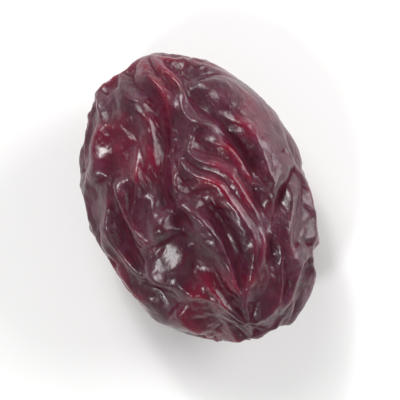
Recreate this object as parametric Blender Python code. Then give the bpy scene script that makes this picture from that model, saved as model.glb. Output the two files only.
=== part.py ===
# Dried cranberry, one whole berry lying on its side.
# Metres, +Z up, long axis along X with the blossom end at +X, flat resting spot at z = 0.
# The body is a sphere drawn out to an oval. Folds, sunken facets, creases, hollows, a smooth
# spot and the puckered ends are raised from that surface by formula.

import bmesh
import bpy
import numpy as np

# Overall size of the finished berry
LENGTH = 0.0180
WIDTH = 0.0131
HEIGHT = 0.0096

# Plump oval under the folds, as half sizes, with the blossom end a little fuller
HALF_LENGTH = 0.00885
HALF_WIDTH = 0.00625
HALF_HEIGHT_ABOVE = 0.00500
HALF_HEIGHT_BELOW = 0.00440
BLOSSOM_END_FULLNESS = 0.02

# Squares along each edge of the cube that is rounded to a sphere, and the triangles
# that stay once the skin is thinned where it is plain
CUBE_SQUARES = 64
TRIANGLES = 11400

# Broad hollows where the flesh sank, and three places that stayed plump, with a depth
# below zero: direction of the middle, radius, depth
HOLLOWS = (
    ((-0.45, -0.10, 1.00), 0.0034, 0.00095),
    ((0.50, -0.45, 0.90), 0.0028, 0.00070),
    ((0.10, -0.85, -0.50), 0.0032, 0.00060),
    ((-0.45, 0.75, -0.65), 0.0030, 0.00065),
    ((0.60, 0.65, -0.65), 0.0030, 0.00065),
    ((0.86, -0.52, 0.00), 0.0024, 0.00045),
    ((-0.80, -0.66, 0.00), 0.0026, 0.00035),
    ((-0.47, 1.00, 0.05), 0.0034, -0.00085),
    ((0.70, -0.90, 0.05), 0.0028, -0.00040),
    ((-0.30, -1.00, 0.00), 0.0022, -0.00025),
)

# Main creases of the upper side: points in plan, depth, half width, lift of the shoulders
CREASES = (
    (((-0.0066, 0.0020), (-0.0034, 0.0034), (-0.0006, 0.0037), (0.0022, 0.0029), (0.0064, 0.0022)),
     0.00080, 0.00046, 0.00028),
    (((0.0008, 0.0058), (0.0021, 0.0044), (0.0036, 0.0028)),
     0.00050, 0.00034, 0.00018),
    (((-0.0070, 0.0006), (-0.0040, -0.0002), (-0.0016, -0.0016), (0.0015, -0.0018), (0.0052, -0.0030)),
     0.00050, 0.00042, 0.00024),
    (((-0.0058, -0.0030), (-0.0020, -0.0046), (0.0020, -0.0050), (0.0058, -0.0042)),
     0.00042, 0.00040, 0.00020),
    (((0.0000, 0.0002), (0.0026, 0.0004), (0.0062, -0.0002)),
     0.00040, 0.00036, 0.00020),
)
CREASE_SAMPLES = 48
CREASE_BLUNTNESS = 0.32
CREASE_END_FADE = 0.7
SHOULDER_PLACE = 2.3
SHOULDER_SPREAD = 1.2

# Folds that run from end to end, and the small wrinkles over them: distance from ridge to
# ridge, height, size of a patch that agrees on direction, spread of direction in radians,
# rounding of the crests and seed
FOLDS = {"spacing": 0.0026, "height": 0.00045, "patch": 0.0026, "turn": 0.40, "rounding": 0.22, "seed": 9}
WRINKLES = {"spacing": 0.0013, "height": 0.00008, "patch": 0.0012, "turn": 0.70, "rounding": 0.30, "seed": 5}
PATCH_OVERLAP = 2.2
HALF_STRENGTH = 0.7
FOLD_MEAN = 0.40

# Sunken facets walled by narrow ridges: their number, how far they are drawn out along the
# berry, scatter of their middles, ridge height, ridge breadth, rounding of the crest and seed
FACET_COUNT = 60
FACET_STRETCH = 2.1
FACET_SCATTER = 0.35
FACET_HEIGHT = 0.00050
FACET_BREADTH = 0.00050
FACET_ROUNDING = 0.00015
FACET_MEAN = 0.25
FACET_SEED = 14

# Slow sideways drift that bends the folds and facets, and slow swell that trades one for
# the other over the skin: wave lengths, reach, shares and seeds
SLOW_WAVES = 6
DRIFT_LENGTH = 0.0060
DRIFT_REACH = 0.00060
DRIFT_SEEDS = (21, 22, 23)
SWELL_LENGTH = 0.0075
SWELL_SEED = 3
SWELL_SHARE = 0.55

# Height that no fold stands above and depth that no valley goes below, so that crossing
# ridges don't add up to a spike, nor crossing creases to a hole
TALLEST = 0.00062
DEEPEST = 0.00190

# Smooth spot near the blossom end, where the skin dried tight: middle in plan, half length
# and half breadth, the way its length runs, the way it faces, how deep its middle lies, the
# radius of its dome, the edges it fades between, how much of the relief it takes away, and
# the least that the way out meets its facing
SPOT_MIDDLE = (0.0023, -0.0031)
SPOT_HALF_LENGTH = 0.0017
SPOT_HALF_BREADTH = 0.0011
SPOT_RUN = np.array([-0.247, 0.855, 0.455])
SPOT_FACING = np.array([0.115, -0.317, 0.942])
SPOT_DEPTH = 0.00015
SPOT_DOME = 0.020
SPOT_INNER = 0.45
SPOT_OUTER = 1.45
SPOT_HOLD = 0.92
SPOT_LEAST_MEETING = 0.2

# Blossom end: a pit ringed by four puckered lobes. Stem end: a small round pit
BLOSSOM_RING_RADIUS = 0.00135
BLOSSOM_RING_SPREAD = 0.00050
BLOSSOM_RING_HEIGHT = 0.00045
BLOSSOM_LOBES = 4.0
BLOSSOM_PIT_RADIUS = 0.00090
BLOSSOM_PIT_DEPTH = 0.00100
STEM_PIT_RADIUS = 0.00075
STEM_PIT_DEPTH = 0.00070

# Calm oval patch under the berry, pressed flat where it rests: half sizes and depth cut off
CALM_HALF_LENGTH = 0.0040
CALM_HALF_WIDTH = 0.0028
CALM_INNER = 0.50
CALM_OUTER = 1.20
CALM_FOLD_SHARE = 0.20
REST_CUT = 0.00020

SKIN_COLOUR = (0.085, 0.010, 0.018, 1.0)
SKIN_ROUGHNESS = 0.36


def clear_scene():
    for leftover in list(bpy.data.objects):
        bpy.data.objects.remove(leftover, do_unlink=True)


def new_collection(name):
    collection = bpy.data.collections.new(name)
    bpy.context.scene.collection.children.link(collection)
    return collection


def skin_material():
    material = bpy.data.materials.new("Dried cranberry skin")
    material.use_nodes = True
    shader = material.node_tree.nodes["Principled BSDF"]
    shader.inputs["Base Color"].default_value = SKIN_COLOUR
    shader.inputs["Roughness"].default_value = SKIN_ROUGHNESS
    shader.inputs["Metallic"].default_value = 0.0
    material.diffuse_color = SKIN_COLOUR
    material.roughness = SKIN_ROUGHNESS
    return material


def unit(vectors):
    return vectors / np.linalg.norm(vectors, axis=-1, keepdims=True)


def smooth_rise(low, high, value):
    """0 below the low edge, 1 above the high edge, and an S curve between."""
    t = np.clip((value - low) / (high - low), 0.0, 1.0)
    return t * t * (3.0 - 2.0 * t)


def round_bump(gap, radius):
    """1 in the middle, falling away smoothly with distance."""
    return np.exp(-(gap / radius) ** 2)


def sphere_from_cube():
    """A cube cut into even squares and rounded to a sphere of radius 1."""
    ball = bmesh.new()
    bmesh.ops.create_cube(ball, size=2.0)
    bmesh.ops.subdivide_edges(ball, edges=ball.edges[:], cuts=CUBE_SQUARES - 1, use_grid_fill=True)
    corners = np.array([corner.co[:] for corner in ball.verts])
    evened = np.tan(corners * np.pi / 4.0)
    for corner, place in zip(ball.verts, unit(evened)):
        corner.co = place
    return ball


def oval(ways):
    """Point of the plump oval in each direction from its middle."""
    fullness = 1.0 + BLOSSOM_END_FULLNESS * ways[:, 0]
    half_height = np.where(ways[:, 2] > 0.0, HALF_HEIGHT_ABOVE, HALF_HEIGHT_BELOW)
    return np.stack([
        HALF_LENGTH * ways[:, 0],
        HALF_WIDTH * ways[:, 1] * fullness,
        half_height * ways[:, 2] * fullness,
    ], axis=1)


def oval_outward(ways):
    """Direction square to the oval at each point."""
    half_height = np.where(ways[:, 2] > 0.0, HALF_HEIGHT_ABOVE, HALF_HEIGHT_BELOW)
    return unit(np.stack([
        ways[:, 0] / HALF_LENGTH,
        ways[:, 1] / HALF_WIDTH,
        ways[:, 2] / half_height,
    ], axis=1))


def slow_change(points, length, seed):
    """Slow change over the skin between -1 and 1: a few long waves in seeded directions."""
    random = np.random.default_rng(seed)
    waves = unit(random.normal(size=(SLOW_WAVES, 3))) * 2.0 * np.pi / length
    shift = random.uniform(0.0, 2.0 * np.pi, SLOW_WAVES)
    return np.tanh(np.sin(points @ waves.T + shift).sum(axis=1) / np.sqrt(SLOW_WAVES / 2.0))


def drifted(points):
    """The points moved slowly to and fro, so that what is worked out there runs in bends."""
    drift = [slow_change(points, DRIFT_LENGTH, seed) for seed in DRIFT_SEEDS]
    return points + DRIFT_REACH * np.stack(drift, axis=1)


def hollow_depth(points):
    """Broad hollows and plump places: a round fall-off from each middle."""
    depth = np.zeros(len(points))
    for way, radius, fall in HOLLOWS:
        middle = oval(unit(np.array([way])))[0]
        depth += fall * round_bump(np.linalg.norm(points - middle, axis=1), radius)
    return depth


def curve_on_top(plan_points):
    """Smooth curve through plan points (Catmull-Rom), lifted to the oval's upper side."""
    knots = np.array(plan_points)
    ends = np.vstack([2.0 * knots[0] - knots[1], knots, 2.0 * knots[-1] - knots[-2]])
    spans = len(knots) - 1
    place = np.linspace(0.0, spans, CREASE_SAMPLES)
    index = np.minimum(place.astype(int), spans - 1)
    t = (place - index)[:, None]
    before, start, end, after = (ends[index + k] for k in range(4))
    plan = 0.5 * (2.0 * start + (end - before) * t
                  + (2.0 * before - 5.0 * start + 4.0 * end - after) * t ** 2
                  + (3.0 * start - before - 3.0 * end + after) * t ** 3)
    along = plan[:, 0] / HALF_LENGTH
    across = plan[:, 1] / (HALF_WIDTH * (1.0 + BLOSSOM_END_FULLNESS * along))
    up = np.sqrt(np.maximum(1.0 - along ** 2 - across ** 2, 0.0))
    return oval(np.stack([along, across, up], axis=1))


def squared_gaps(points, places):
    """Square of the distance from every point to every place."""
    own = np.sum(points ** 2, axis=1)[:, None] + np.sum(places ** 2, axis=1)
    return own - 2.0 * points @ places.T


def gap_to_curve(points, curve):
    """Distance from each point to the curve, and the nearest spot's place along it, 0 to 1."""
    starts = curve[:-1]
    spans = curve[1:] - starts
    reach = points @ spans.T - np.sum(starts * spans, axis=1)
    span_squared = np.sum(spans ** 2, axis=1)
    run = np.clip(reach / span_squared, 0.0, 1.0)
    gap_squared = squared_gaps(points, starts) - 2.0 * run * reach + run ** 2 * span_squared
    nearest = gap_squared.argmin(axis=1)
    row = np.arange(len(points))
    gap = np.sqrt(np.maximum(gap_squared[row, nearest], 0.0))
    return gap, (nearest + run[row, nearest]) / len(spans)


def crease_relief(points):
    """Narrow-bottomed creases with a rounded shoulder on each side, fading out at both ends."""
    relief = np.zeros(len(points))
    for plan_points, depth, half_width, lift in CREASES:
        gap, along = gap_to_curve(points, curve_on_top(plan_points))
        fade = np.sin(np.pi * np.clip(along, 0.0, 1.0)) ** CREASE_END_FADE
        cut = np.exp(CREASE_BLUNTNESS - np.hypot(gap / half_width, CREASE_BLUNTNESS))
        shoulder = round_bump(gap - SHOULDER_PLACE * half_width, SHOULDER_SPREAD * half_width)
        relief += fade * (lift * shoulder - depth * cut)
    return relief


def fold_relief(points, spacing, height, patch, turn, rounding, seed):
    """Folds from end to end: waves across many small patches, added up as turning arrows.

    The sum's angle gives a train of ridges that fork where patches disagree. Each ridge has
    a narrow rounded crest between broad valleys: one less the size of the sine of half the
    angle. It fades where the arrows cancel.
    """
    random = np.random.default_rng(seed)
    count = int(PATCH_OVERLAP * 4.0 * np.pi * HALF_LENGTH * HALF_WIDTH / patch ** 2)
    ways = unit(random.normal(size=(count, 3)))
    middles = oval(ways)
    outward = oval_outward(ways)
    around = unit(np.cross([1.0, 0.0, 0.0], outward))
    lengthwise = np.cross(outward, around)
    angle = turn * random.normal(size=(count, 1))
    waves = (around * np.cos(angle) + lengthwise * np.sin(angle)) * 2.0 * np.pi / spacing
    shift = random.uniform(0.0, 2.0 * np.pi, count)
    arrows = np.zeros(len(points), dtype=complex)
    for middle, wave, start in zip(middles, waves, shift):
        offset = points - middle
        weight = round_bump(np.linalg.norm(offset, axis=1), patch)
        arrows += weight * np.exp(1j * (offset @ wave + start))
    strength = np.abs(arrows) / np.hypot(np.abs(arrows), HALF_STRENGTH)
    ridge = 1.0 + rounding - np.hypot(np.sin(np.angle(arrows) / 2.0), rounding)
    return height * (ridge - FOLD_MEAN) * strength


def facet_middles():
    """Facet middles: an even spiral round the oval, each moved a little at random."""
    random = np.random.default_rng(FACET_SEED)
    step = np.arange(FACET_COUNT) + 0.5
    turn = np.pi * (1.0 + np.sqrt(5.0)) * step
    along = 1.0 - 2.0 * step / FACET_COUNT
    ring = np.sqrt(1.0 - along ** 2)
    ways = np.stack([along, ring * np.cos(turn), ring * np.sin(turn)], axis=1)
    scatter = FACET_SCATTER * np.sqrt(4.0 * np.pi / FACET_COUNT)
    return oval(unit(ways + scatter * random.normal(size=ways.shape)))


def facet_relief(points):
    """Facets that sank between narrow ridges, each point in the facet of its nearest middle.

    The wall between two facets is halfway between their middles. A point's gap to it is the
    difference of its two squared distances over twice the distance between the middles. The
    nearest wall's ridge falls away from a rounded crest into the facet.
    """
    squeeze = np.array([1.0 / FACET_STRETCH, 1.0, 1.0])
    middles = facet_middles() * squeeze
    far = squared_gaps(points * squeeze, middles)
    nearest = far.argmin(axis=1)
    row = np.arange(len(points))
    between = np.sqrt(np.maximum(squared_gaps(middles, middles), 0.0)) + np.eye(FACET_COUNT)
    gap = (far - far[row, nearest][:, None]) / (2.0 * between[nearest])
    gap[row, nearest] = np.inf
    wall = gap.min(axis=1)
    ridge = np.exp((FACET_ROUNDING - np.hypot(wall, FACET_ROUNDING)) / FACET_BREADTH)
    return FACET_HEIGHT * (ridge - FACET_MEAN)


def end_relief(points):
    """Four-lobed pucker round a pit at the blossom end, and a small round pit at the stem end."""
    blossom = oval(np.array([[1.0, 0.0, 0.0]]))[0]
    stem = oval(np.array([[-1.0, 0.0, 0.0]]))[0]
    from_blossom = np.linalg.norm(points - blossom, axis=1)
    from_stem = np.linalg.norm(points - stem, axis=1)
    lobes = 0.6 + 0.4 * np.cos(BLOSSOM_LOBES * np.arctan2(points[:, 2], points[:, 1]) + 0.5)
    ring = BLOSSOM_RING_HEIGHT * lobes * round_bump(from_blossom - BLOSSOM_RING_RADIUS, BLOSSOM_RING_SPREAD)
    blossom_pit = BLOSSOM_PIT_DEPTH * round_bump(from_blossom, BLOSSOM_PIT_RADIUS)
    stem_pit = STEM_PIT_DEPTH * round_bump(from_stem, STEM_PIT_RADIUS)
    return ring - blossom_pit - stem_pit


def smooth_spot(points):
    """Middle of the smooth spot, and its share: 1 near the middle, easing to 0 outside it."""
    along, across = np.array(SPOT_MIDDLE) / (HALF_LENGTH, HALF_WIDTH)
    up = np.sqrt(1.0 - along ** 2 - across ** 2)
    middle = oval(np.array([[along, across, up]]))[0]
    offset = points - middle
    lengthwise = offset @ unit(SPOT_RUN)
    aside = np.sqrt(np.maximum(np.sum(offset ** 2, axis=1) - lengthwise ** 2, 0.0))
    gap = np.hypot(lengthwise / SPOT_HALF_LENGTH, aside / SPOT_HALF_BREADTH)
    return middle, 1.0 - smooth_rise(SPOT_INNER, SPOT_OUTER, gap)


def smoothed_down(relief, points, outward):
    """The relief, brought to one shallow dome within the smooth spot.

    The dome faces its own way and falls off with the square of the distance from its
    middle. A point's gap to it, over how squarely the way out there meets it, is how far
    the point moves.
    """
    middle, share = smooth_spot(points)
    facing = unit(SPOT_FACING)
    offset = middle - points
    drop = SPOT_DEPTH + np.sum(offset ** 2, axis=1) / (2.0 * SPOT_DOME)
    to_dome = (offset @ facing - drop) / np.maximum(outward @ facing, SPOT_LEAST_MEETING)
    return relief + SPOT_HOLD * share * (to_dome - relief)


def freedom_to_wrinkle(points):
    """1 where the skin wrinkles freely, 0 in the middle of the calm patch underneath."""
    reach = np.hypot(points[:, 0] / CALM_HALF_LENGTH, points[:, 1] / CALM_HALF_WIDTH)
    return np.where(points[:, 2] < 0.0, smooth_rise(CALM_INNER, CALM_OUTER, reach), 1.0)


def wrinkled_skin(ways):
    """The whole outside: the oval, moved square to itself by the sum of every relief."""
    plain = oval(ways)
    outward = oval_outward(ways)
    bent = drifted(plain)
    free = freedom_to_wrinkle(plain)
    swell = SWELL_SHARE * slow_change(plain, SWELL_LENGTH, SWELL_SEED)
    folds = fold_relief(bent, **FOLDS) * (1.0 + swell)
    facets = facet_relief(bent) * (1.0 - swell)
    wrinkles = fold_relief(bent, **WRINKLES) * (1.0 - swell)
    relief = folds * (CALM_FOLD_SHARE + (1.0 - CALM_FOLD_SHARE) * free)
    relief += (facets + wrinkles - hollow_depth(plain)) * free
    relief += crease_relief(plain) + end_relief(plain)
    limit = np.where(relief > 0.0, TALLEST, DEEPEST)
    relief = smoothed_down(limit * np.tanh(relief / limit), plain, outward)
    return plain + outward * relief[:, None]


def fit_to_size(points):
    """Scales the berry to its overall size, with what is pressed flat left below z = 0."""
    low = points.min(axis=0)
    high = points.max(axis=0)
    centred = points - (low + high) / 2.0
    sized = centred * np.array([LENGTH, WIDTH, HEIGHT + REST_CUT]) / (high - low)
    sized[:, 2] += (HEIGHT - REST_CUT) / 2.0
    return sized


def resting_plane_cutter(collection):
    """Block whose top face is the surface that the berry lies on."""
    block = bmesh.new()
    bmesh.ops.create_cube(block, size=1.0)
    mesh = bpy.data.meshes.new("resting_plane_cutter")
    block.to_mesh(mesh)
    block.free()
    cutter = bpy.data.objects.new("resting_plane_cutter", mesh)
    cutter.scale = (2.0 * LENGTH, 2.0 * WIDTH, HEIGHT)
    cutter.location = (0.0, 0.0, -HEIGHT / 2.0)
    cutter.hide_render = True
    cutter.display_type = "WIRE"
    collection.objects.link(cutter)
    return cutter


def dried_cranberry(collection, cutter):
    """The berry: wrinkled skin over one solid body, thinned, then pressed flat underneath."""
    ball = sphere_from_cube()
    ways = np.array([corner.co[:] for corner in ball.verts])
    for corner, place in zip(ball.verts, fit_to_size(wrinkled_skin(ways))):
        corner.co = place
    mesh = bpy.data.meshes.new("dried_cranberry")
    ball.to_mesh(mesh)
    ball.free()
    mesh.materials.append(skin_material())
    mesh.shade_smooth()
    berry = bpy.data.objects.new("dried_cranberry", mesh)
    collection.objects.link(berry)
    thin = berry.modifiers.new("Thin where plain", "DECIMATE")
    thin.ratio = TRIANGLES / (12.0 * CUBE_SQUARES ** 2)
    flat = berry.modifiers.new("Flat resting spot", "BOOLEAN")
    flat.operation = "DIFFERENCE"
    flat.solver = "EXACT"
    flat.object = cutter
    return berry


clear_scene()
dried_cranberry(new_collection("Dried cranberry"), resting_plane_cutter(new_collection("Cutters")))
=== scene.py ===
import bpy
import numpy as np
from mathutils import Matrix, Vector


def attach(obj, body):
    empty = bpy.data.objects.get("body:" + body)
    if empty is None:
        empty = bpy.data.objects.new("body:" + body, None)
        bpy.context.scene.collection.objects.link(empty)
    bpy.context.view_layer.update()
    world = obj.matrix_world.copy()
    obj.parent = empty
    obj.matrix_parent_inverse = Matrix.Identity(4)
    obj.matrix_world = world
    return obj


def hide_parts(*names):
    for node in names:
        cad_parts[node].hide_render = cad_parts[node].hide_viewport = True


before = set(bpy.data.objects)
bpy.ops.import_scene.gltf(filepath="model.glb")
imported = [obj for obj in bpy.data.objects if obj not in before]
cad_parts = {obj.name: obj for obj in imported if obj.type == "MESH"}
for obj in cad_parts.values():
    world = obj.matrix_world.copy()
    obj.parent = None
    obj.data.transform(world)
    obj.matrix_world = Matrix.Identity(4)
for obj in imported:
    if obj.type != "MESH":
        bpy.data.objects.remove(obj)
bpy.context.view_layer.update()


# The berry: one whole dried cranberry, skin and flesh dried together into a single body.
# It grew round and plump, then lost its water, so the skin is now too large for the flesh
# and has sunk onto it in folds and facets between the stem end and the blossom end.

# Size of the finished berry, and the plump oval under its folds as half sizes
berry_size = np.array([0.0180, 0.0131, 0.0096])
half_length = 0.00885
half_width = 0.00625
half_height_above = 0.00500
half_height_below = 0.00440
blossom_end_fullness = 0.02


def unit(vectors):
    """Each vector divided by its own length."""
    return vectors / np.linalg.norm(vectors, axis=-1, keepdims=True)


def round_bump(gap, radius):
    """1 in the middle, falling away with the square of the distance in an exponential."""
    return np.exp(-(gap / radius) ** 2)


def smooth_rise(low, high, value):
    """0 below the low edge, 1 above the high edge, and an S curve between."""
    t = np.clip((value - low) / (high - low), 0.0, 1.0)
    return t * t * (3.0 - 2.0 * t)


def closed_cube_grid(n):
    """Points and squares of a cube whose six sides are cut n by n, with the edges shared.

    Each side is a grid of two whole-number coordinates, with the third held at 0 or n. The
    same corner on two sides has the same three numbers, so it becomes one point.
    """
    a, b = np.meshgrid(np.arange(n + 1), np.arange(n + 1), indexing="ij")
    sides = []
    for axis in range(3):
        for level in (0, n):
            side = np.empty((n + 1, n + 1, 3), dtype=np.int64)
            side[..., axis] = level
            side[..., (axis + 1) % 3] = a
            side[..., (axis + 2) % 3] = b
            sides.append(side if level else side[::-1])
    lattice = np.stack(sides).reshape(-1, 3)
    key = lattice @ np.array([1, n + 1, (n + 1) ** 2])
    _, first, number = np.unique(key, return_index=True, return_inverse=True)
    number = number.reshape(6, n + 1, n + 1)
    corners = (number[:, :-1, :-1], number[:, 1:, :-1], number[:, 1:, 1:], number[:, :-1, 1:])
    return lattice[first] * (2.0 / n) - 1.0, np.stack(corners, axis=-1).reshape(-1, 4)


def half_height(ways):
    """Half height of the oval in each direction: more above its middle than below it."""
    return np.where(ways[:, 2] > 0.0, half_height_above, half_height_below)


def oval(ways):
    """Point of the plump oval in each direction from its middle: the way times three half sizes.

    Its breadth and height grow a little towards the blossom end.
    """
    fullness = 1.0 + blossom_end_fullness * ways[:, 0]
    return np.stack([
        half_length * ways[:, 0],
        half_width * ways[:, 1] * fullness,
        half_height(ways) * ways[:, 2] * fullness,
    ], axis=1)


def oval_outward(ways):
    """Direction square to the oval: each part of the way divided by its half size."""
    return unit(np.stack([
        ways[:, 0] / half_length,
        ways[:, 1] / half_width,
        ways[:, 2] / half_height(ways),
    ], axis=1))


# Slow sideways drift that bends the folds and facets: waves in each slow change, their
# length, how far the skin drifts, and a seed for each of the three directions
slow_waves = 6
drift_length = 0.0060
drift_reach = 0.00060
drift_seeds = (21, 22, 23)


def slow_change(points, length, seed):
    """Slow change over the skin between -1 and 1: long waves in seeded directions, added up."""
    random = np.random.default_rng(seed)
    waves = unit(random.normal(size=(slow_waves, 3))) * 2.0 * np.pi / length
    shift = random.uniform(0.0, 2.0 * np.pi, slow_waves)
    return np.tanh(np.sin(points @ waves.T + shift).sum(axis=1) / np.sqrt(slow_waves / 2.0))


def drifted(points):
    """The points moved slowly to and fro, so that what is worked out there runs in bends."""
    drift = [slow_change(points, drift_length, seed) for seed in drift_seeds]
    return points + drift_reach * np.stack(drift, axis=1)


# Broad hollows where the flesh sank, and three places that stayed plump, with a depth
# below zero: direction of the middle, radius, depth
hollows = (
    ((-0.45, -0.10, 1.00), 0.0034, 0.00095),
    ((0.50, -0.45, 0.90), 0.0028, 0.00070),
    ((0.10, -0.85, -0.50), 0.0032, 0.00060),
    ((-0.45, 0.75, -0.65), 0.0030, 0.00065),
    ((0.60, 0.65, -0.65), 0.0030, 0.00065),
    ((0.86, -0.52, 0.00), 0.0024, 0.00045),
    ((-0.80, -0.66, 0.00), 0.0026, 0.00035),
    ((-0.47, 1.00, 0.05), 0.0034, -0.00085),
    ((0.70, -0.90, 0.05), 0.0028, -0.00040),
    ((-0.30, -1.00, 0.00), 0.0022, -0.00025),
)


def hollow_depth(points):
    """Broad hollows and plump places: a round fall-off from each middle."""
    depth = np.zeros(len(points))
    for way, radius, fall in hollows:
        middle = oval(unit(np.array([way])))[0]
        depth += fall * round_bump(np.linalg.norm(points - middle, axis=1), radius)
    return depth


# Main creases of the upper side: points in plan, depth, half width, lift of the shoulders.
# Then points along each curve, bluntness of the bottom, fading of the ends, and how far
# off the shoulders lie and how broad they are, both in half widths
creases = (
    (((-0.0066, 0.0020), (-0.0034, 0.0034), (-0.0006, 0.0037), (0.0022, 0.0029), (0.0064, 0.0022)),
     0.00080, 0.00046, 0.00028),
    (((0.0008, 0.0058), (0.0021, 0.0044), (0.0036, 0.0028)),
     0.00050, 0.00034, 0.00018),
    (((-0.0070, 0.0006), (-0.0040, -0.0002), (-0.0016, -0.0016), (0.0015, -0.0018), (0.0052, -0.0030)),
     0.00050, 0.00042, 0.00024),
    (((-0.0058, -0.0030), (-0.0020, -0.0046), (0.0020, -0.0050), (0.0058, -0.0042)),
     0.00042, 0.00040, 0.00020),
    (((0.0000, 0.0002), (0.0026, 0.0004), (0.0062, -0.0002)),
     0.00040, 0.00036, 0.00020),
)
crease_samples = 48
crease_bluntness = 0.32
crease_end_fade = 0.7
shoulder_place = 2.3
shoulder_spread = 1.2


def curve_on_top(plan_points):
    """Smooth curve through plan points (Catmull-Rom), lifted to the oval's upper side."""
    knots = np.array(plan_points)
    ends = np.vstack([2.0 * knots[0] - knots[1], knots, 2.0 * knots[-1] - knots[-2]])
    spans = len(knots) - 1
    place = np.linspace(0.0, spans, crease_samples)
    index = np.minimum(place.astype(int), spans - 1)
    t = (place - index)[:, None]
    before, start, end, after = (ends[index + k] for k in range(4))
    plan = 0.5 * (2.0 * start + (end - before) * t
                  + (2.0 * before - 5.0 * start + 4.0 * end - after) * t ** 2
                  + (3.0 * start - before - 3.0 * end + after) * t ** 3)
    along = plan[:, 0] / half_length
    across = plan[:, 1] / (half_width * (1.0 + blossom_end_fullness * along))
    up = np.sqrt(np.maximum(1.0 - along ** 2 - across ** 2, 0.0))
    return oval(np.stack([along, across, up], axis=1))


def squared_gaps(points, places):
    """Square of the distance from every point to every place: both squares less twice their product."""
    own = np.sum(points ** 2, axis=1)[:, None] + np.sum(places ** 2, axis=1)
    return own - 2.0 * points @ places.T


def gap_to_curve(points, curve):
    """Distance from each point to the curve, and the nearest spot's place along it, 0 to 1.

    The nearest spot on each straight stretch is where the point falls square onto it, held
    between its two ends. The stretch with the least distance counts.
    """
    starts = curve[:-1]
    spans = curve[1:] - starts
    reach = points @ spans.T - np.sum(starts * spans, axis=1)
    span_squared = np.sum(spans ** 2, axis=1)
    run = np.clip(reach / span_squared, 0.0, 1.0)
    gap_squared = squared_gaps(points, starts) - 2.0 * run * reach + run ** 2 * span_squared
    nearest = gap_squared.argmin(axis=1)
    row = np.arange(len(points))
    gap = np.sqrt(np.maximum(gap_squared[row, nearest], 0.0))
    return gap, (nearest + run[row, nearest]) / len(spans)


def crease_relief(points):
    """Narrow-bottomed creases with a rounded shoulder on each side, fading out at both ends."""
    relief = np.zeros(len(points))
    for plan_points, depth, half_breadth, lift in creases:
        gap, along = gap_to_curve(points, curve_on_top(plan_points))
        fade = np.sin(np.pi * np.clip(along, 0.0, 1.0)) ** crease_end_fade
        cut = np.exp(crease_bluntness - np.hypot(gap / half_breadth, crease_bluntness))
        shoulder = round_bump(gap - shoulder_place * half_breadth, shoulder_spread * half_breadth)
        relief += fade * (lift * shoulder - depth * cut)
    return relief


# Folds, the small wrinkles over them and the fine crinkles over those: ridge to ridge,
# height, size of a patch that agrees on direction, spread of direction, rounding, seed.
# Then how thickly the patches overlap, how many of its sizes a patch reaches, how strong
# their sum is where the folds stand seven tenths up, and the mean taken off the ridges
folds = {"spacing": 0.0026, "height": 0.00045, "patch": 0.0026,
         "turn": 0.40, "rounding": 0.22, "seed": 9}
wrinkles = {"spacing": 0.0013, "height": 0.00008, "patch": 0.0012,
            "turn": 0.70, "rounding": 0.30, "seed": 5}
crinkles = {"spacing": 0.00064, "height": 0.000085, "patch": 0.00070,
            "turn": 0.80, "rounding": 0.35, "seed": 9}
patch_overlap = 2.2
patch_reach = 3.0
half_strength = 0.7
fold_mean = 0.40


def fold_relief(points, spacing, height, patch, turn, rounding, seed):
    """Folds from end to end: waves across many small patches, added up as turning arrows.

    The sum's angle gives a train of ridges that fork where patches disagree. Each ridge has
    a narrow rounded crest between broad valleys: one less the size of the sine of half the
    angle. It fades where the arrows cancel. A patch is left out beyond its reach.
    """
    random = np.random.default_rng(seed)
    count = int(patch_overlap * 4.0 * np.pi * half_length * half_width / patch ** 2)
    ways = unit(random.normal(size=(count, 3)))
    middles = oval(ways)
    outward = oval_outward(ways)
    around = unit(np.cross([1.0, 0.0, 0.0], outward))
    lengthwise = np.cross(outward, around)
    angle = turn * random.normal(size=(count, 1))
    waves = (around * np.cos(angle) + lengthwise * np.sin(angle)) * 2.0 * np.pi / spacing
    shift = random.uniform(0.0, 2.0 * np.pi, count)
    order = np.argsort(points[:, 0])
    sorted_points = points[order]
    reach = patch_reach * patch
    first = np.searchsorted(sorted_points[:, 0], middles[:, 0] - reach)
    last = np.searchsorted(sorted_points[:, 0], middles[:, 0] + reach)
    arrows = np.zeros(len(points), dtype=complex)
    for middle, wave, start, low, high in zip(middles, waves, shift, first, last):
        offset = sorted_points[low:high] - middle
        square = np.einsum("ij,ij->i", offset, offset)
        near = np.flatnonzero(square < reach ** 2)
        weight = np.exp(-square[near] / patch ** 2)
        arrows[low + near] += weight * np.exp(1j * (offset[near] @ wave + start))
    arrows[order] = arrows.copy()
    strength = np.abs(arrows) / np.hypot(np.abs(arrows), half_strength)
    ridge = 1.0 + rounding - np.hypot(np.sin(np.angle(arrows) / 2.0), rounding)
    return height * (ridge - fold_mean) * strength


# Sunken facets between narrow ridges: their number, how far they are drawn out along the
# berry, scatter of their middles, ridge height, ridge breadth, rounding of the crest, the
# mean taken off the ridges, and seed
facet_count = 60
facet_stretch = 2.1
facet_scatter = 0.35
facet_height = 0.00050
facet_breadth = 0.00050
facet_rounding = 0.00015
facet_mean = 0.25
facet_seed = 14


def facet_middles():
    """Facet middles: an even spiral round the oval, each moved a little at random."""
    random = np.random.default_rng(facet_seed)
    step = np.arange(facet_count) + 0.5
    turn = np.pi * (1.0 + np.sqrt(5.0)) * step
    along = 1.0 - 2.0 * step / facet_count
    ring = np.sqrt(1.0 - along ** 2)
    ways = np.stack([along, ring * np.cos(turn), ring * np.sin(turn)], axis=1)
    scatter = facet_scatter * np.sqrt(4.0 * np.pi / facet_count)
    return oval(unit(ways + scatter * random.normal(size=ways.shape)))


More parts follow.
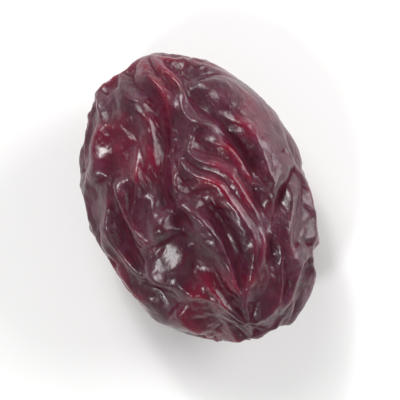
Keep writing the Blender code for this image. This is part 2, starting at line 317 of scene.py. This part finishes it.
def facet_relief(points):
    """Facets that sank between narrow ridges, each point in the facet of its nearest middle.

    The wall between two facets is halfway between their middles. A point's gap to it is the
    difference of its two squared distances over twice the distance between the middles. The
    nearest wall's ridge falls away from a rounded crest into the facet.
    """
    squeeze = np.array([1.0 / facet_stretch, 1.0, 1.0])
    middles = facet_middles() * squeeze
    far = squared_gaps(points * squeeze, middles)
    nearest = far.argmin(axis=1)
    row = np.arange(len(points))
    between = np.sqrt(np.maximum(squared_gaps(middles, middles), 0.0)) + np.eye(facet_count)
    gap = (far - far[row, nearest][:, None]) / (2.0 * between[nearest])
    gap[row, nearest] = np.inf
    wall = gap.min(axis=1)
    ridge = np.exp((facet_rounding - np.hypot(wall, facet_rounding)) / facet_breadth)
    return facet_height * (ridge - facet_mean)


# The blossom end, a pit ringed by puckered lobes, and the small round pit at the stem end
pucker_radius = 0.00135
pucker_spread = 0.00050
pucker_height = 0.00045
pucker_lobes = 4.0
lobe_share = 0.4
lobe_turn = 0.5
blossom_pit_depth = 0.00100
blossom_pit_radius = 0.00090
stem_pit_depth = 0.00070
stem_pit_radius = 0.00075


def end_relief(points):
    """Four-lobed pucker round a pit at the blossom end, and a small round pit at the stem end.

    The pucker is a ring a set distance from the tip, and a cosine round it makes the lobes.
    """
    blossom = oval(np.array([[1.0, 0.0, 0.0]]))[0]
    stem = oval(np.array([[-1.0, 0.0, 0.0]]))[0]
    from_blossom = np.linalg.norm(points - blossom, axis=1)
    from_stem = np.linalg.norm(points - stem, axis=1)
    round_the_tip = np.arctan2(points[:, 2], points[:, 1])
    lobes = (1.0 - lobe_share) + lobe_share * np.cos(pucker_lobes * round_the_tip + lobe_turn)
    pucker = pucker_height * lobes * round_bump(from_blossom - pucker_radius, pucker_spread)
    blossom_pit = blossom_pit_depth * round_bump(from_blossom, blossom_pit_radius)
    stem_pit = stem_pit_depth * round_bump(from_stem, stem_pit_radius)
    return pucker - blossom_pit - stem_pit


# The smooth spot near the blossom end, where the skin dried tight: middle in plan, half
# length and half breadth, the way its length runs, the way it faces, how deep its middle
# lies, the radius of its dome, the edges it fades between in half sizes, how much of the
# relief and of the crinkles it takes away, and the least that the way out meets its facing
spot_middle = (0.0023, -0.0031)
spot_half_length = 0.0017
spot_half_breadth = 0.0011
spot_run = np.array([-0.247, 0.855, 0.455])
spot_facing = np.array([0.115, -0.317, 0.942])
spot_depth = 0.00015
spot_dome = 0.020
spot_inner = 0.45
spot_outer = 1.45
spot_hold = 0.92
spot_crinkle_hold = 0.6
spot_least_meeting = 0.2


def smooth_spot(points):
    """Middle of the smooth spot, and its share: 1 near the middle, easing to 0 outside it."""
    along, across = np.array(spot_middle) / (half_length, half_width)
    up = np.sqrt(1.0 - along ** 2 - across ** 2)
    middle = oval(np.array([[along, across, up]]))[0]
    offset = points - middle
    lengthwise = offset @ unit(spot_run)
    aside = np.sqrt(np.maximum(np.sum(offset ** 2, axis=1) - lengthwise ** 2, 0.0))
    gap = np.hypot(lengthwise / spot_half_length, aside / spot_half_breadth)
    return middle, 1.0 - smooth_rise(spot_inner, spot_outer, gap)


def smoothed_down(relief, points, outward):
    """The relief, brought to one shallow dome within the smooth spot.

    The dome faces its own way and falls off with the square of the distance from its
    middle. A point's gap to it, over how squarely the way out there meets it, is how far
    the point moves.
    """
    middle, share = smooth_spot(points)
    facing = unit(spot_facing)
    offset = middle - points
    drop = spot_depth + np.sum(offset ** 2, axis=1) / (2.0 * spot_dome)
    to_dome = (offset @ facing - drop) / np.maximum(outward @ facing, spot_least_meeting)
    return relief + spot_hold * share * (to_dome - relief)


def evened_out(values, quads, times):
    """Local mean: each time, a square takes its corners' mean and a corner its squares' mean."""
    shared_by = np.bincount(quads.ravel())
    for _ in range(times):
        square = values[quads].mean(axis=1)
        values = np.bincount(quads.ravel(), np.repeat(square, 4)) / shared_by
    return values


# The whole skin: squares along each edge of the cube it starts as, the height and depth
# that no fold goes beyond, and the slow swell that trades folds for facets
squares = 128
tallest = 0.00062
deepest = 0.00190
swell_share = 0.55
swell_length = 0.0075
swell_seed = 3

# The calm patch underneath, pressed flat where the berry rests: half sizes, the edges it
# fades between in half sizes, how much of the folds it keeps, and the depth cut off
calm_half_length = 0.0040
calm_half_width = 0.0028
calm_inner = 0.50
calm_outer = 1.20
calm_fold_share = 0.20
rest_cut = 0.00020

# Where the crinkles are stronger or fainter: their mean share, its swing, length and seed
crinkle_mean = 0.55
crinkle_swing = 0.45
crinkle_change_length = 0.0030
crinkle_change_seed = 6

# Marks for the colours: rounds of evening out, and the height over which each mark goes
# from 0 to 1
raised_rounds = 12
raised_span = 0.00030
sunken_rounds = 120
sunken_span = 0.00080
pinched_rounds = 4
pinched_span = 0.00005


def berry_skin():
    """The skin as points and squares, with how far each point stands up or lies deep.

    The oval is moved square to itself by the folds, facets, creases, hollows and ends
    together, and smoothed down at one spot. The middle of the underside wrinkles less, and
    what is pressed below the resting plane is brought up flat to it. The marks give how far
    a point is above the skin round it, how far below the wider skin, and how deep in a nip.
    """
    corners, quads = closed_cube_grid(squares)
    ways = unit(np.tan(corners * np.pi / 4.0))
    plain = oval(ways)
    outward = oval_outward(ways)
    bent = drifted(plain)
    reach = np.hypot(plain[:, 0] / calm_half_length, plain[:, 1] / calm_half_width)
    free = np.where(plain[:, 2] < 0.0, smooth_rise(calm_inner, calm_outer, reach), 1.0)
    swell = swell_share * slow_change(plain, swell_length, swell_seed)
    large = fold_relief(bent, **folds) * (1.0 + swell)
    large *= calm_fold_share + (1.0 - calm_fold_share) * free
    facets = facet_relief(bent) * (1.0 - swell)
    small = fold_relief(bent, **wrinkles) * (1.0 - swell)
    relief = large + (facets + small - hollow_depth(plain)) * free
    relief += crease_relief(plain) + end_relief(plain)
    limit = np.where(relief > 0.0, tallest, deepest)
    relief = smoothed_down(limit * np.tanh(relief / limit), plain, outward)
    coarse = plain + outward * relief[:, None]
    low = coarse.min(axis=0)
    high = coarse.max(axis=0)
    change = slow_change(plain, crinkle_change_length, crinkle_change_seed)
    fine = fold_relief(bent, **crinkles) * free * (crinkle_mean + crinkle_swing * change)
    fine *= 1.0 - spot_crinkle_hold * smooth_spot(plain)[1]
    skin = coarse + outward * fine[:, None]
    skin = (skin - (low + high) / 2.0) * (berry_size + [0.0, 0.0, rest_cut]) / (high - low)
    skin[:, 2] += (berry_size[2] - rest_cut) / 2.0
    skin[:, 2] = np.maximum(skin[:, 2], 0.0)
    raised = 0.5 + (relief - evened_out(relief, quads, raised_rounds)) / raised_span
    sunken = (evened_out(relief, quads, sunken_rounds) - relief) / sunken_span
    pinched = (evened_out(relief, quads, pinched_rounds) - relief) / pinched_span
    return skin, quads, {"raised": raised, "sunken": sunken, "pinched": pinched}


skin_points, skin_quads, skin_marks = berry_skin()
berry_mesh = bpy.data.meshes.new("berry")
berry_mesh.from_pydata(skin_points, [], skin_quads)
berry_mesh.shade_smooth()
for mark, values in skin_marks.items():
    values = np.clip(values, 0.0, 1.0).astype(np.float32)
    berry_mesh.attributes.new(mark, "FLOAT", "POINT").data.foreach_set("value", values)
berry_mesh.update()
berry = bpy.data.objects.new("berry", berry_mesh)
bpy.context.scene.collection.objects.link(berry)

skin = bpy.data.materials.new("dried berry skin")
skin.use_nodes = True
berry_mesh.materials.append(skin)
nodes = skin.node_tree.nodes
links = skin.node_tree.links
shader = nodes["Principled BSDF"]


def joined(value, socket):
    """Puts a number, colour or another node's output into a socket."""
    if isinstance(value, bpy.types.NodeSocket):
        links.new(value, socket)
    else:
        socket.default_value = value


def mark_value(name):
    """The mark of that name which each point of the skin carries."""
    node = nodes.new("ShaderNodeAttribute")
    node.attribute_name = name
    return node.outputs["Fac"]


def speckle(size_mm, detail, roughness, offset, drawn_out=1.0):
    """Cloudy noise whose blotches are about that many millimetres across.

    Along the berry they are drawn out to that many times their breadth.
    """
    place = nodes.new("ShaderNodeMapping")
    place.inputs["Location"].default_value = (offset, offset, offset)
    place.inputs["Scale"].default_value = Vector((1.0 / drawn_out, 1.0, 1.0)) * 1000.0 / size_mm
    links.new(coordinates.outputs["Object"], place.inputs["Vector"])
    noise = nodes.new("ShaderNodeTexNoise")
    noise.inputs["Scale"].default_value = 1.0
    noise.inputs["Detail"].default_value = detail
    noise.inputs["Roughness"].default_value = roughness
    links.new(place.outputs["Vector"], noise.inputs["Vector"])
    return noise.outputs["Fac"]


def ramp(value, low, high, out_low=0.0, out_high=1.0):
    """Maps low to out_low and high to out_high along a smooth S."""
    node = nodes.new("ShaderNodeMapRange")
    node.interpolation_type = "SMOOTHSTEP"
    for name, number in (("Value", value), ("From Min", low), ("From Max", high),
                         ("To Min", out_low), ("To Max", out_high)):
        joined(number, node.inputs[name])
    return node.outputs["Result"]


def maths(kind, first, second):
    """The two values added, multiplied or compared, as the kind says."""
    node = nodes.new("ShaderNodeMath")
    node.operation = kind
    joined(first, node.inputs[0])
    joined(second, node.inputs[1])
    return node.outputs["Value"]


def blend(share, first, second):
    """Colour that goes from the first to the second as the share goes from 0 to 1."""
    node = nodes.new("ShaderNodeMix")
    node.data_type = "RGBA"
    joined(share, node.inputs["Factor"])
    joined(first, node.inputs["A"])
    joined(second, node.inputs["B"])
    return node.outputs["Result"]


def bumped(strength, distance, height, under=None):
    """Relief in the shading alone, laid over the relief from the node before it."""
    node = nodes.new("ShaderNodeBump")
    node.inputs["Strength"].default_value = strength
    node.inputs["Distance"].default_value = distance
    links.new(height, node.inputs["Height"])
    if under:
        links.new(under, node.inputs["Normal"])
    return node.outputs["Normal"]


burgundy = (0.074, 0.0052, 0.0215, 1.0)
wine = (0.053, 0.0045, 0.0170, 1.0)
crimson = (0.180, 0.0035, 0.023, 1.0)
# Deep red: the grains' own colour, also laid as painted shade in the hollows and nips
deep_red_and_shade = (0.085, 0.0055, 0.0190, 1.0)
# Mauve film: partly a dusty bloom and partly a painted sheen
mauve_bloom_and_sheen = (0.120, 0.045, 0.085, 1.0)

coordinates = nodes.new("ShaderNodeTexCoord")
raised = mark_value("raised")
sunken = mark_value("sunken")
pinched = ramp(mark_value("pinched"), 0.10, 0.60)
clouds = speckle(size_mm=4.0, detail=2.0, roughness=0.5, offset=3.0)
patches = speckle(size_mm=1.3, detail=4.0, roughness=0.6, offset=7.0)
grains = speckle(size_mm=0.30, detail=3.0, roughness=0.6, offset=13.0)

# Colour: wine and burgundy patches, crimson in large areas and most on the raised crests as a painted
# glow of light through thin flesh, deep red low down as painted shade, a mauve film on patches that
# don't lie low that is partly a dusty bloom and partly a painted sheen, deep red grains, and deep red
# in the nips as painted shade
colour = blend(ramp(patches, 0.38, 0.62), wine, burgundy)
# Painted glow: the crimson share is strongest on the raised crests, standing in for light shining
# through the thin flesh there
ridge_glow = ramp(raised, 0.35, 0.80, out_low=0.35, out_high=1.0)
colour = blend(maths("MULTIPLY", ramp(clouds, 0.46, 0.66), ridge_glow), colour, crimson)
# Painted shade: deep red laid over the sunken skin, darkest where it lies lowest
colour = blend(ramp(sunken, 0.20, 0.85, out_low=0.0, out_high=0.70), colour, deep_red_and_shade)
# Mauve film on patches that don't lie low: partly a dusty bloom, partly a painted sheen of reflected
# light
bloom_and_sheen_share = maths("MULTIPLY", ramp(patches, 0.48, 0.70), ramp(sunken, 0.45, 0.10))
colour = blend(maths("MULTIPLY", bloom_and_sheen_share, 0.30), colour, mauve_bloom_and_sheen)
colour = blend(ramp(grains, 0.58, 0.80, out_low=0.0, out_high=0.40), colour, deep_red_and_shade)
# Painted shade: deep red in the nips at the bottoms of the creases
colour = blend(maths("MULTIPLY", pinched, 0.6), colour, deep_red_and_shade)
joined(colour, shader.inputs["Base Color"])

# Gloss: oily where the large areas are red, duller in the hollows and nips, with a thin
# coat of oil that doesn't reach into the nips
oily = ramp(clouds, 0.35, 0.65, out_low=0.37, out_high=0.22)
low_down = ramp(sunken, 0.30, 0.90, out_low=0.0, out_high=0.20)
dull = maths("MAXIMUM", low_down, maths("MULTIPLY", pinched, 0.60))
grainy = maths("MULTIPLY", grains, 0.08)
joined(maths("ADD", maths("ADD", oily, dull), grainy), shader.inputs["Roughness"])
joined(ramp(pinched, 0.1, 0.7, out_low=0.45, out_high=0.0), shader.inputs["Coat Weight"])
shader.inputs["IOR"].default_value = 1.42
shader.inputs["Coat Roughness"].default_value = 0.17
shader.inputs["Coat IOR"].default_value = 1.45

# Light that goes into the flesh and comes out red, up to about a millimetre away
shader.inputs["Subsurface Weight"].default_value = 0.40
shader.inputs["Subsurface Radius"].default_value = (1.0, 0.14, 0.12)
shader.inputs["Subsurface Scale"].default_value = 0.0011

# Finest relief: lines drawn out along the berry where the skin dried, with pores over them
line_height = speckle(size_mm=0.27, detail=2.0, roughness=0.5, offset=3.0, drawn_out=2.0)
drying_lines = bumped(strength=0.65, distance=0.00012, height=line_height)
pore_height = speckle(size_mm=0.12, detail=2.0, roughness=0.5, offset=5.0)
pored = bumped(strength=0.40, distance=0.00002, height=pore_height, under=drying_lines)
links.new(pored, shader.inputs["Normal"])

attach(berry, "root")
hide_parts("dried_cranberry")


# The floor: a plain pale sheet that the berry lies on. It isn't part of the berry.
# It stops a hair below the resting plane, so the two never share a face.

floor_half = 1.5
floor_drop = 0.00002
floor_mesh = bpy.data.meshes.new("floor")
floor_mesh.from_pydata(
    [(-floor_half, -floor_half, -floor_drop), (floor_half, -floor_half, -floor_drop),
     (floor_half, floor_half, -floor_drop), (-floor_half, floor_half, -floor_drop)],
    [], [(0, 1, 2, 3)])
floor = bpy.data.objects.new("floor", floor_mesh)
bpy.context.scene.collection.objects.link(floor)
paper = bpy.data.materials.new("pale floor")
paper.use_nodes = True
paper_shader = paper.node_tree.nodes["Principled BSDF"]
paper_shader.inputs["Base Color"].default_value = (0.975, 0.97, 0.965, 1.0)
paper_shader.inputs["Roughness"].default_value = 0.8
paper_shader.inputs["Specular IOR Level"].default_value = 0.1
floor_mesh.materials.append(paper)


# The studio: white walls that fade to a dim ceiling, and four white light boxes turned to the
# berry. Two are large and soft, and two are small and bright and make the sharp glints.

wall_light = 0.58
ceiling_light = 0.14
world = bpy.data.worlds.new("white surround")
world.use_nodes = True
studio = world.node_tree
direction = studio.nodes.new("ShaderNodeTexCoord")
split = studio.nodes.new("ShaderNodeSeparateXYZ")
fade = studio.nodes.new("ShaderNodeMapRange")
fade.inputs["From Min"].default_value = 0.0
fade.inputs["From Max"].default_value = 1.0
fade.inputs["To Min"].default_value = wall_light
fade.inputs["To Max"].default_value = ceiling_light
background = studio.nodes["Background"]
background.inputs["Color"].default_value = (1.0, 1.0, 1.0, 1.0)
studio.links.new(direction.outputs["Generated"], split.inputs["Vector"])
studio.links.new(split.outputs["Z"], fade.inputs["Value"])
studio.links.new(fade.outputs["Result"], background.inputs["Strength"])
bpy.context.scene.world = world

# Each light box: its place to the right, up the picture and above the floor, its breadth,
# and how bright it is
picture_turn = np.radians(62.0)
picture_right = Vector((np.cos(picture_turn), np.sin(picture_turn), 0.0))
picture_up = Vector((-np.sin(picture_turn), np.cos(picture_turn), 0.0))
for name, right, up, height, breadth, brightness in (
        ("upper light box", -0.22, 0.48, 0.48, 0.36, 5.2),
        ("right light box", 0.47, 0.22, 0.24, 0.36, 6.4),
        ("upper hot centre", -0.21, 0.46, 0.46, 0.09, 45.0),
        ("glint light box", -0.30, -0.34, 0.52, 0.12, 30.0)):
    lamp = bpy.data.lights.new(name, "AREA")
    lamp.size = breadth
    lamp.energy = brightness * np.pi * breadth ** 2
    light = bpy.data.objects.new(name, lamp)
    light.location = picture_right * right + picture_up * up + Vector((0.0, 0.0, height))
    light.rotation_euler = light.location.to_track_quat("Z", "Y").to_euler()
    bpy.context.scene.collection.objects.link(light)


# The camera: straight above, as in the photograph, turned so that the berry's stem end
# leans to the upper left, and close enough that the one berry fills the picture.

picture_width = 0.0235
lens = bpy.data.cameras.new("camera")
lens.lens = 200.0
lens.sensor_width = 36.0
lens.clip_start = 0.005
camera = bpy.data.objects.new("camera", lens)
camera.location = (0.0, 0.0, berry_size[2] / 2.0 + picture_width * lens.lens / lens.sensor_width)
camera.rotation_euler = (0.0, 0.0, picture_turn)
bpy.context.scene.collection.objects.link(camera)
bpy.context.scene.camera = camera
bpy.context.scene.view_settings.view_transform = "Standard"
